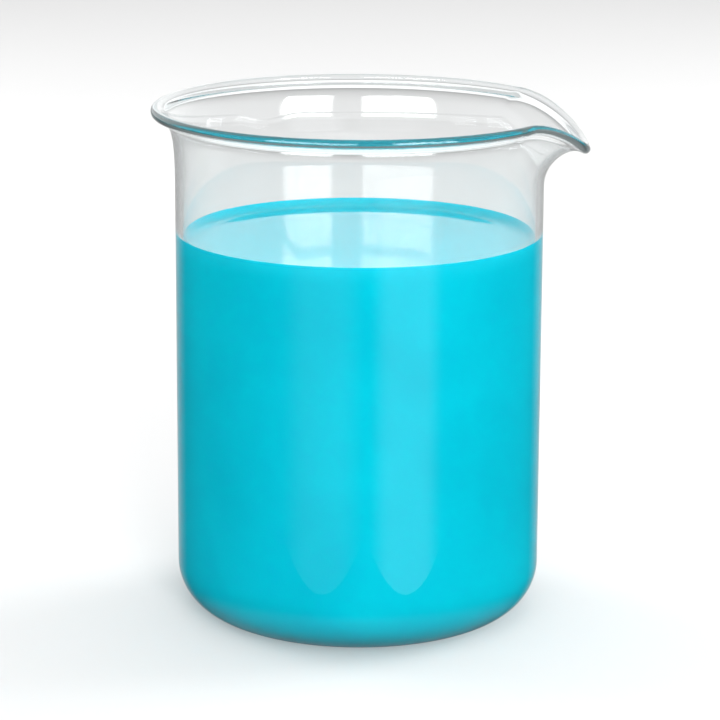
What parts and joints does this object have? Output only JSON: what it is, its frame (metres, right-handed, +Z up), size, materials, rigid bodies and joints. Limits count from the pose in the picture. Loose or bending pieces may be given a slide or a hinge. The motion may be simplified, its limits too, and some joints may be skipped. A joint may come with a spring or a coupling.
{
  "type": "beaker",
  "caption": "Low-form glass laboratory beaker with a flared, beaded rim and a drooping pouring spout, holding an opaque cyan liquid with a raised edge at the glass.",
  "frame": {"origin": "centre of the base, on the surface that the beaker stands on", "axes": "+Z up along the axis of the body, +X towards the pouring spout"},
  "size_m": [0.1068, 0.1014, 0.127],
  "materials": {
    "glass": "gloss",
    "liquid": "gloss"
  },
  "bodies": {
    "glass_body": {"vessel": "glass"},
    "filling": {"liquid": "liquid"}
  },
  "joints": [
    {"name": "liquid_swirl", "type": "hinge", "parent": "glass_body", "child": "filling", "pos_m": [0, 0, 0], "axis": [0, 0, 1], "continuous": true}
  ]
}
